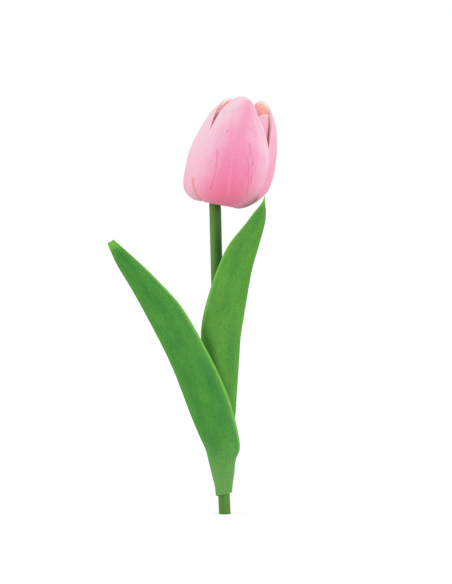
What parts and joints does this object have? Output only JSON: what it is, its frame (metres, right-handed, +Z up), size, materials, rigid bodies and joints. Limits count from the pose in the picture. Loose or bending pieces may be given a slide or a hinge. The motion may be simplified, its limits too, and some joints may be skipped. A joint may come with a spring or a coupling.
{
  "type": "artificial tulip",
  "caption": "Foam tulip on a coated wire stem, with layered petals round a core, a neck that bends and stays, and springy leaves wrapped round the stem.",
  "frame": {"origin": "centre of the flat cut at the stem's lower end", "axes": "+Z up along the stem towards the flower head, -Y towards the flower's front, +X to its right as seen from the front"},
  "size_m": [0.0957, 0.0504, 0.2395],
  "materials": {
    "petal_foam": "matte",
    "inner_petal_foam": "matte",
    "leaf_foam": "matte",
    "stem_coating": "satin",
    "core_foam": "matte",
    "stamen_plastic": "satin",
    "wire": "satin"
  },
  "bodies": {
    "stem": {"stem_wire": "wire", "stem_coating": "stem_coating", "front_leaf_foot": "leaf_foam", "rear_leaf_foot": "leaf_foam"},
    "head": {"core": "core_foam", "pistil": "core_foam", "stamens": "stamen_plastic", "outer_petal_front": "petal_foam", "outer_petal_left": "petal_foam", "outer_petal_right": "petal_foam", "inner_petal_front_left": "inner_petal_foam", "inner_petal_front_right": "inner_petal_foam", "inner_petal_rear": "inner_petal_foam"},
    "front_leaf": {"front_leaf_blade": "leaf_foam"},
    "rear_leaf": {"rear_leaf_blade": "leaf_foam"}
  },
  "joints": [
    {"name": "neck_bend", "type": "hinge", "parent": "stem", "child": "head", "pos_m": [-0.0055, 0, 0.178], "axis": [0, 1, 0], "range_deg": [-35, 20], "deforming": ["stem_wire"]},
    {"name": "front_leaf_flex", "type": "hinge", "parent": "stem", "child": "front_leaf", "pos_m": [-0.00292, -0.01, 0.044], "axis": [1, 0, 0], "range_deg": [0, 25], "stiffness_Nm_per_rad": 0.015},
    {"name": "rear_leaf_flex", "type": "hinge", "parent": "stem", "child": "rear_leaf", "pos_m": [-0.00207, -0.01208, 0.104], "axis": [1, 0, 0], "range_deg": [0, 25], "stiffness_Nm_per_rad": 0.015}
  ]
}
